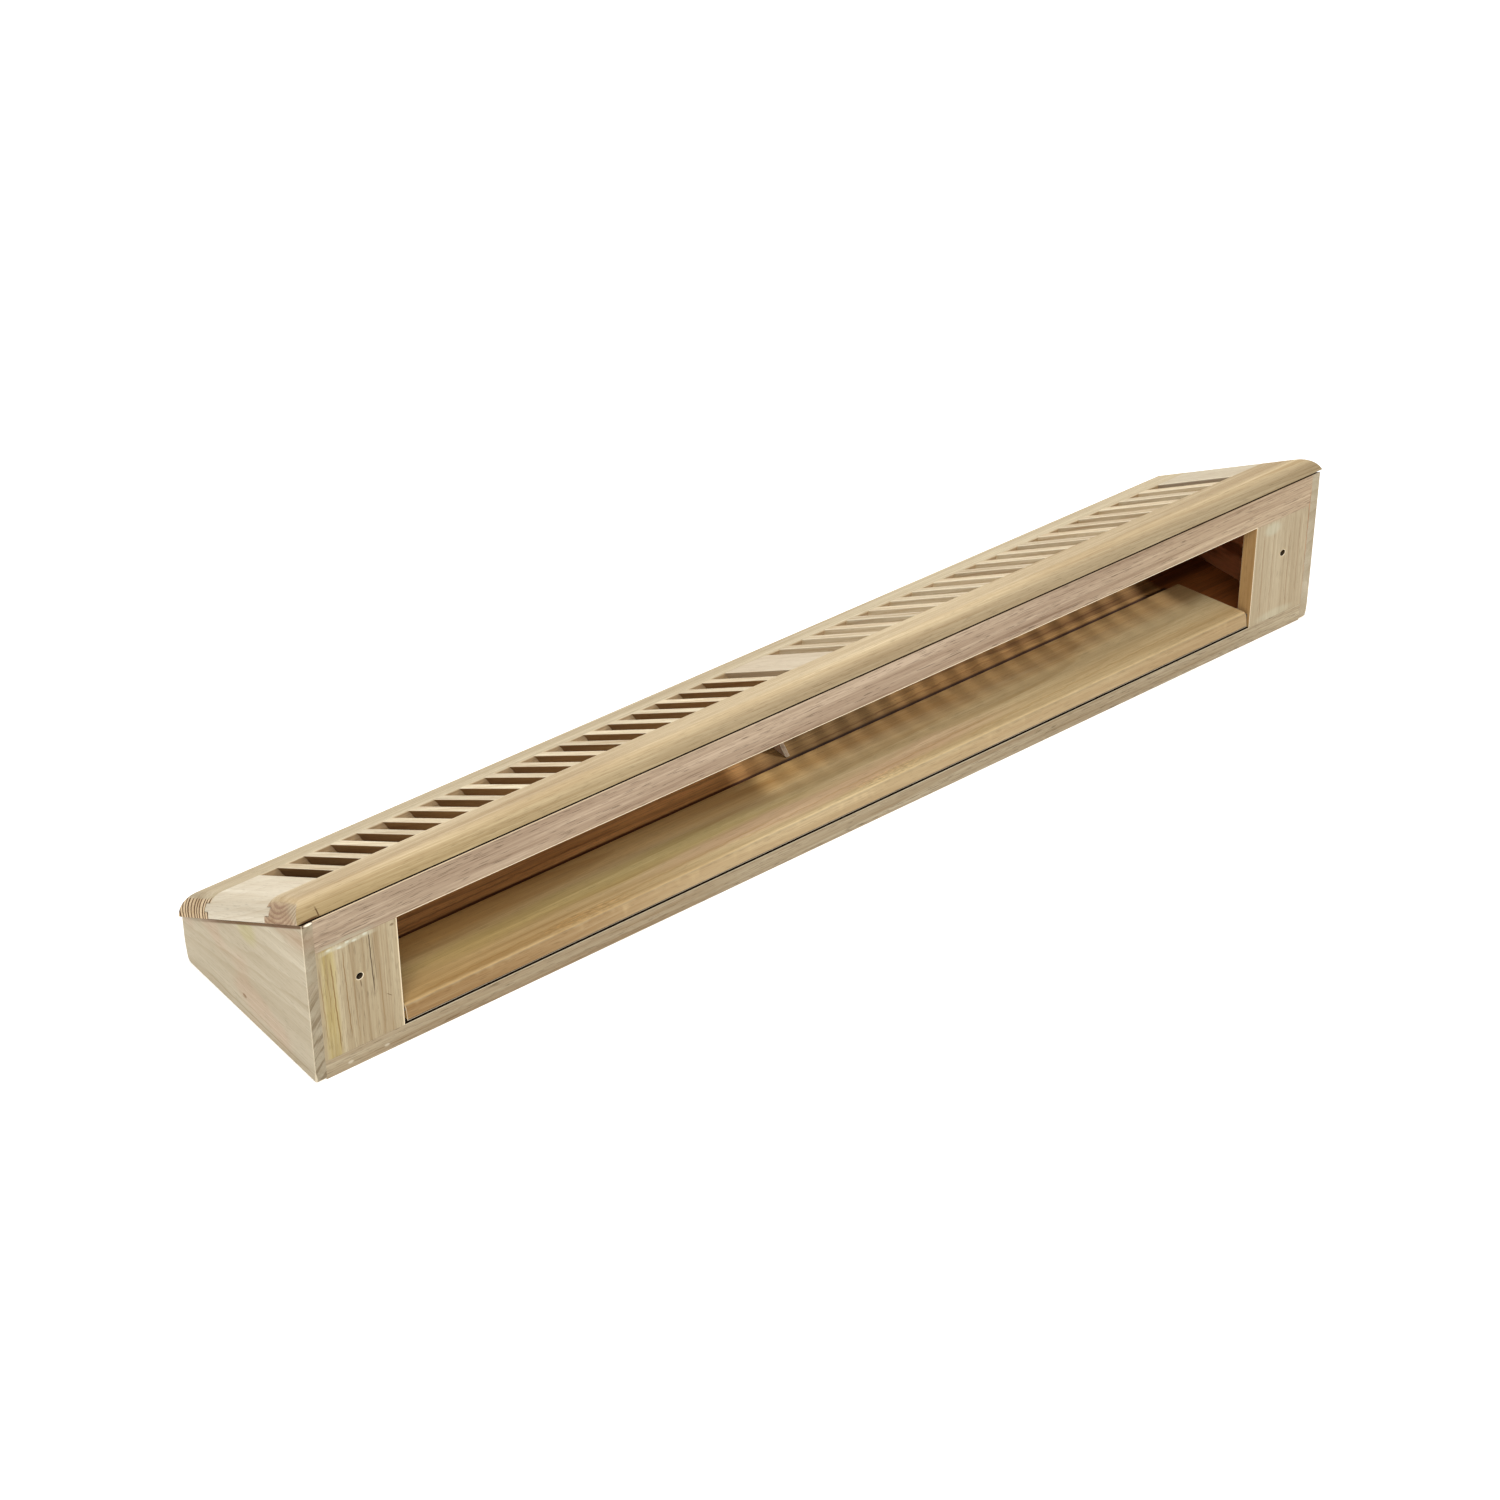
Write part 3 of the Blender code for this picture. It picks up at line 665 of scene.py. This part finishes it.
def top_rail_marks(g, colour, height):
    colour = shaded_top(g, colour)
    colour = g.tint(g.step(g.x, 150.0, 20.0), colour, (0.94, 0.95, 0.95))
    colour = g.tint(g.step(g.x, 420.0, 540.0), colour, (1.14, 1.16, 1.12))
    glue = g.stroke(g.x, g.z, (8.0, 70.6), (34.0, 71.0), 1.4, 1.0)
    colour = g.mix(g.times(glue, 0.55), colour, srgb(172, 164, 140))
    # Painted highlight along the lower arris at the opening.
    edge = g.times(g.band(g.z, 60.0, 70.25, 0.15), g.band(g.x, 47.0, 565.4, 0.3),
                   g.facing(-BACK, 0.5, 0.9))
    colour = g.mix(g.times(edge, 0.85), colour, srgb(236, 214, 178))
    # Painted highlight along the top of the front face, on the left.
    crest_highlight = g.times(g.band(g.z, 86.9, 90.0, 0.12), g.facing(-BACK, 0.5, 0.9),
                    g.step(g.x, 330.0, 60.0))
    colour = g.mix(g.times(crest_highlight, 0.6), colour, srgb(226, 204, 170))
    # Painted shade on the underside.
    return g.tint(g.facing(-UP), colour, (0.40, 0.26, 0.17)), height


def bottom_rail_marks(g, colour, height):
    pale = g.math("MAXIMUM", g.spot(g.x, g.z, (18.1, 3.5), (1.6, 0.9)),
                  g.spot(g.x, g.z, (37.0, 3.5), (1.5, 0.8)))
    colour = g.mix(g.times(pale, 0.5), colour, srgb(214, 204, 182))
    dark = g.stroke(g.x, g.z, (68.0, 1.6), (76.0, 2.0), 0.6, 0.4)
    colour = g.mix(g.times(dark, 0.6), colour, srgb(110, 82, 52))
    # Painted shadow: the top face is near black.
    return g.tint(g.facing(UP, 0.75, 0.9), colour, (0.05, 0.03, 0.015)), height


def spans(edge, limits):
    """True for a long edge between two places along X."""
    ends = sorted(v.co.x for v in edge.verts)
    return ends[1] - ends[0] > 100 * MM and ends[0] > limits[0] - MM and ends[1] < limits[1] + MM


def dress_opening():
    """The frame of the air opening, closed up to the end caps and to itself."""
    cap_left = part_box("left_end_cap")[1].x + JOINT_LINE
    cap_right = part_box("right_end_cap")[0].x - JOINT_LINE
    opening = (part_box("frame_left_stile")[1].x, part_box("frame_right_stile")[0].x)
    for node in ("frame_top_rail", "frame_bottom_rail"):
        low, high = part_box(node)
        moves = [(ALONG, low.x, cap_left), (ALONG, high.x, cap_right)]
        if node == "frame_top_rail":
            moves.append(under_panel(node))
            board = refined(node, 0.5, stretch=moves, cuts=opening,
                            eased=lambda e: lies_on(e, UP, low.z) and spans(e, opening))
            material = wood(node, srgb(173, 152, 128), srgb(126, 101, 80), ALONG, BACK,
                            pith_mm=(-40.0, 60.0), drift=(0.03, 0.0), ring_mm=4.0, ring=0.3,
                            pore=0.6, pore_scale=0.8, streak=0.6, tone=0.6, seed=4.4,
                            origin=centre_of(node), arris=1.2, shine=0.06,
                            marks=top_rail_marks)
        else:
            board = refined(node, 0.22, stretch=moves, cuts=opening,
                            eased=lambda e: lies_on(e, BACK, low.y)
                            and (spans(e, opening) or lies_on(e, UP, low.z)))
            material = wood(node, srgb(168, 154, 128), srgb(133, 110, 80), ALONG, BACK,
                            pith_mm=(-40.0, 60.0), drift=(0.03, 0.0), ring_mm=4.0, ring=0.3,
                            pore=0.6, streak=0.6, tone=0.5, seed=14.4, origin=centre_of(node),
                            arris=0.4, shine=0.03, marks=bottom_rail_marks)
        paint(board, material)
    for node, seed, marks in (("frame_left_stile", 5.0, left_stile_marks),
                              ("frame_right_stile", 15.0, right_stile_marks)):
        low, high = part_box(node)
        front_foot = min(v.co.z for v in NODES[node].data.vertices
                         if abs(v.co.y - low.y) < 0.01 * MM)
        moves = [(UP, low.z, low.z - CLOSING), (UP, front_foot, front_foot - CLOSING),
                 (UP, high.z, high.z + CLOSING)]
        if node == "frame_left_stile":
            moves.append((ALONG, low.x, cap_left))
            edge_x, hole = high.x, LEFT_HOLE
        else:
            moves.append((ALONG, high.x, cap_right))
            edge_x, hole = low.x, RIGHT_HOLE
        hole_x = LEFT_X + hole[0] * MM
        board = refined(node, 0.35, stretch=moves,
                        eased=lambda e: (lies_on(e, ALONG, edge_x) and e.calc_length() > 20 * MM)
                        or all(abs(v.co.x - hole_x) < 3 * MM for v in e.verts))
        is_left = node == "frame_left_stile"
        light = srgb(169, 154, 124) if is_left else srgb(178, 163, 135)
        paint(board, wood(node, light, srgb(140, 118, 86), UP, BACK,
                          pith_mm=(30.0, 40.0), drift=(0.02, 0.0), ring_mm=4.0,
                          ring=0.4 if is_left else 0.22, pore=0.4 if is_left else 0.25,
                          streak=0.65 if is_left else 0.38, tone=0.5, seed=seed,
                          origin=centre_of(node), arris=0.8, shine=0.15, marks=marks))


def board_marks(g, colour, height):
    """Painted shadow behind the flap's rear edge and painted shade behind the stiles; paler on top,
    darker towards the right, with a few dark lines.
    """
    # Painted shadow behind the flap's rear edge.
    flap_shadow = g.times(g.band(g.y, 40.0, 63.4, 0.9), g.step(g.x, 568.0, 565.0))
    colour = g.tint(flap_shadow, colour, (0.12, 0.07, 0.04))
    # Painted shade on the board behind the stiles.
    shade_behind_stiles = g.math("MAXIMUM", g.step(g.x, 561.0, 566.0), g.step(g.x, 48.0, 42.0))
    colour = g.tint(shade_behind_stiles, colour, (0.50, 0.28, 0.16))
    colour = g.tint(g.facing(UP), colour, (1.58, 1.72, 1.80))
    colour = g.tint(g.step(g.x, 250.0, 320.0), colour, (0.60, 0.66, 0.66))
    colour = g.tint(g.band(g.x, 300.0, 385.0, 22.0), colour, (0.74, 0.80, 0.88))
    for start, end in (((40.0, 66.0), (210.0, 69.0)), ((330.0, 66.0), (540.0, 70.0))):
        line = g.stroke(g.x, g.y, start, end, 0.8, 1.6)
        colour = g.tint(g.times(line, 0.6), colour, (0.60, 0.48, 0.38))
    return colour, height


def toe_marks(g, colour, height):
    """Pale on the outer face; the faces inside the box stay darker as painted shade."""
    return g.tint(g.facing(BACK), colour, (1.02, 1.46, 2.25)), height


def dress_inside():
    for node, seed, marks in (("bottom_board", 6.0, board_marks), ("toe_board", 7.0, toe_marks)):
        board = refined(node, 0.3)
        paint(board, wood(node, srgb(200, 142, 84), srgb(136, 86, 44), ALONG, UP,
                          pith_mm=(40.0, -50.0), drift=(0.05, 0.0), ring_mm=6.0, ring=0.5,
                          streak=0.6, seed=seed, origin=centre_of(node), marks=marks))
    board = refined("centre_gusset", 0.3)
    paint(board, wood("centre_gusset", srgb(226, 202, 174), srgb(190, 160, 132), UP, ALONG,
                      pith_mm=(20.0, 30.0), ring_mm=3.0, ring=0.4, seed=8.0,
                      origin=centre_of("centre_gusset"), arris=1.0))


# ---------------------------------------------------------------- damper
def flap_marks(g, colour, height):
    """The flap is painted lighter along its front edge and painted a darker, reddish shade towards
    its rear edge.
    """
    wave = g.noise(g.join(g.times(g.x, 0.012), g.times(g.y, 0.10), 4.0), 1.0, 3.0)
    depth = g.sum(g.y, g.sway(wave, 16.0))
    # Painted warm shade towards the rear edge, away from the opening.
    colour = g.tint(g.step(depth, 26.0, 46.0), colour, (1.14, 0.97, 0.75))
    # Painted shade: the front face is darker, more so towards the left.
    front = g.facing(-BACK, 0.3, 0.9)
    colour = g.tint(front, colour, (0.60, 0.58, 0.60))
    colour = g.tint(g.times(front, g.step(g.x, 230.0, 60.0)), colour, (0.87, 0.88, 0.92))
    # Painted warm shade towards the left end.
    colour = g.tint(g.step(g.x, 230.0, 60.0), colour, (0.88, 0.77, 0.62))
    # Painted shade on the rear right of the top face.
    back = g.times(g.step(g.y, 24.0, 40.0), g.step(g.x, 275.0, 345.0))
    colour = g.tint(back, colour, (0.62, 0.60, 0.62))
    # Painted light: lighter towards the front edge, where light comes in through the opening.
    colour = g.tint(g.step(g.y, 26.0, 6.0), colour, (1.22, 1.22, 1.22))
    colour = g.tint(g.spot(g.x, depth, (300.0, 13.0), (110.0, 8.0)), colour, (1.03, 0.96, 1.06))
    colour = g.tint(g.spot(g.x, depth, (170.0, 24.0), (120.0, 8.0)), colour, (0.98, 1.00, 0.84))
    # Painted highlight along the rounded front arris.
    crest_highlight = g.stroke(g.x, g.y, (47.0, 2.6), (566.0, 3.0), 1.6, 2.4)
    colour = g.mix(g.times(crest_highlight, 0.22), colour, srgb(226, 200, 152))
    curl = g.noise(g.join(g.times(g.x, 0.30), g.times(g.y, 1.1), 9.0), 1.0, 2.0)
    patch = g.math("MAXIMUM", g.spot(g.x, g.y, (150.0, 6.0), (26.0, 4.0)),
                   g.spot(g.x, g.y, (330.0, 6.0), (24.0, 4.0)))
    colour = g.tint(g.times(patch, g.step(curl, 0.48, 0.62)), colour, (1.20, 1.16, 1.10))
    colour = g.tint(g.times(patch, g.step(curl, 0.46, 0.34)), colour, (0.86, 0.80, 0.74))
    for start, end in (((60.0, 5.0), (150.0, 9.0)), ((130.0, 6.5), (260.0, 12.0)),
                       ((240.0, 8.0), (400.0, 14.0)), ((380.0, 7.0), (540.0, 12.0))):
        line = g.stroke(g.x, g.y, start, end, 0.8, 1.6)
        colour = g.tint(g.times(line, 0.4), colour, (0.76, 0.62, 0.44))
    # Painted shade on the rear face.
    rear = g.times(g.facing(BACK, 0.3, 0.8), g.step(g.y, 40.0, 50.0))
    colour = g.tint(rear, colour, (0.30, 0.20, 0.14))
    # Painted shade that follows the pose: turned to face out, the broad face is darkened like the
    # frame's outer faces, and the painted warm shade at its rear and left is taken back out.
    outward = g.step(g.dot(g.node("ShaderNodeNewGeometry", out="Normal"), -BACK), 0.3, 0.9)
    closed = g.times(g.facing(UP, 0.5, 0.9), outward)
    colour = g.tint(closed, colour, (0.68, 0.70, 0.82))
    colour = g.tint(g.times(closed, g.step(depth, 26.0, 46.0)), colour, (0.88, 1.04, 1.30))
    colour = g.tint(g.times(closed, g.step(g.x, 230.0, 60.0)), colour, (1.04, 1.16, 1.34))
    # Painted shade: the underside and the lower front edge are near black.
    low = g.math("MAXIMUM", g.facing(-UP, 0.2, 0.6),
                 g.times(g.step(g.z, 11.9, 11.4), g.step(g.y, 6.0, 4.0)))
    return g.tint(low, colour, (0.06, 0.03, 0.015)), height


def dress_damper():
    board = refined("damper_flap", 0.3)
    paint(board, wood("damper_flap", srgb(209, 187, 142), srgb(163, 129, 80), ALONG, UP,
                      pith_mm=(10.0, -30.0), drift=(0.03, 0.05), ring_mm=6.0, ring=0.25,
                      wander_mm=4.0, pore=0.25, streak=0.32, tone=0.6, seed=3.0,
                      origin=centre_of("damper_flap"), arris=0.5, shine=0.10,
                      marks=flap_marks))
    for node in ("left_pivot_pin", "right_pivot_pin"):
        g = Graph(node)
        place = g.node("ShaderNodeTexCoord", out="Object")
        rings = g.noise(g.node("ShaderNodeVectorMath", {0: place, 1: (9000.0, 300.0, 300.0)},
                               operation="MULTIPLY"), 1.0, 2.0)
        g.put(g.shader.inputs["Base Color"], g.mix(rings, (0.42, 0.42, 0.43), (0.60, 0.60, 0.61)))
        g.put(g.shader.inputs["Roughness"], g.sum(0.24, g.times(rings, 0.22)))
        g.shader.inputs["Metallic"].default_value = 1.0
        paint(NODES[node], g.material)


# ---------------------------------------------------------------- floor, light, camera
FLOOR_HALF_SIZE = 6.0
FLOOR_DROP = 0.05 * MM           # keeps the floor clear of the register's underside
LIGHT_TARGET = (0.0, 0.0, 0.03)
LENS_MM = 84.288
SENSOR_MM = 36.0


def build_floor():
    builder = bmesh.new()
    bmesh.ops.create_grid(builder, x_segments=1, y_segments=1, size=FLOOR_HALF_SIZE)
    mesh = bpy.data.meshes.new("floor")
    builder.to_mesh(mesh)
    builder.free()
    floor = bpy.data.objects.new("floor", mesh)
    floor.location.z = CAD_BOX[0].z - FLOOR_DROP
    bpy.context.scene.collection.objects.link(floor)
    g = Graph("floor_paper")
    g.put(g.shader.inputs["Base Color"], (0.86, 0.86, 0.86))
    g.shader.inputs["Roughness"].default_value = 0.9
    g.shader.inputs["Specular IOR Level"].default_value = 0.0
    g.shader.inputs["Emission Color"].default_value = (1.0, 1.0, 1.0, 1.0)
    g.shader.inputs["Emission Strength"].default_value = 0.32
    mesh.materials.append(g.material)


def area_light(name, place, size, power, colour=(1.0, 1.0, 1.0)):
    data = bpy.data.lights.new(name, "AREA")
    data.shape = "DISK"
    data.size = size
    data.energy = power
    data.color = colour
    lamp = bpy.data.objects.new(name, data)
    lamp.location = place
    lamp.rotation_mode = "QUATERNION"
    lamp.rotation_quaternion = (Vector(LIGHT_TARGET) - Vector(place)).to_track_quat("-Z", "Y")
    bpy.context.scene.collection.objects.link(lamp)


def build_light():
    world = bpy.data.worlds.new("studio")
    world.use_nodes = True
    sky = world.node_tree.nodes["Background"]
    sky.inputs["Color"].default_value = (1.0, 1.0, 1.0, 1.0)
    sky.inputs["Strength"].default_value = 0.36
    bpy.context.scene.world = world
    area_light("key", (1.66, 0.14, 2.72), 0.56, 65.0, (1.0, 0.985, 0.96))
    area_light("fill", (-1.2, -1.65, 2.45), 1.6, 73.0)
    bpy.context.scene.view_settings.view_transform = "Standard"
    bpy.context.scene.view_settings.look = "None"


def build_camera():
    data = bpy.data.cameras.new("camera")
    data.sensor_fit = "HORIZONTAL"
    data.sensor_width = SENSOR_MM
    data.lens = LENS_MM
    data.clip_start, data.clip_end = 0.05, 50.0
    right = Vector((0.7897529, -0.6133912, -0.0064457))
    down = Vector((-0.3554786, -0.4490715, -0.8197376))
    forward = Vector((0.4999253, 0.6496815, -0.5727030))
    turn = Matrix((right, -down, -forward)).transposed()
    camera = bpy.data.objects.new("camera", data)
    camera.rotation_mode = "QUATERNION"
    camera.rotation_quaternion = turn.to_quaternion()
    camera.location = (LEFT_X - 0.56536, FACE_Y - 1.04703, 0.99699)
    bpy.context.scene.collection.objects.link(camera)
    bpy.context.scene.camera = camera


dress_panel()
dress_caps()
dress_opening()
dress_inside()
dress_damper()
build_floor()
build_light()
build_camera()
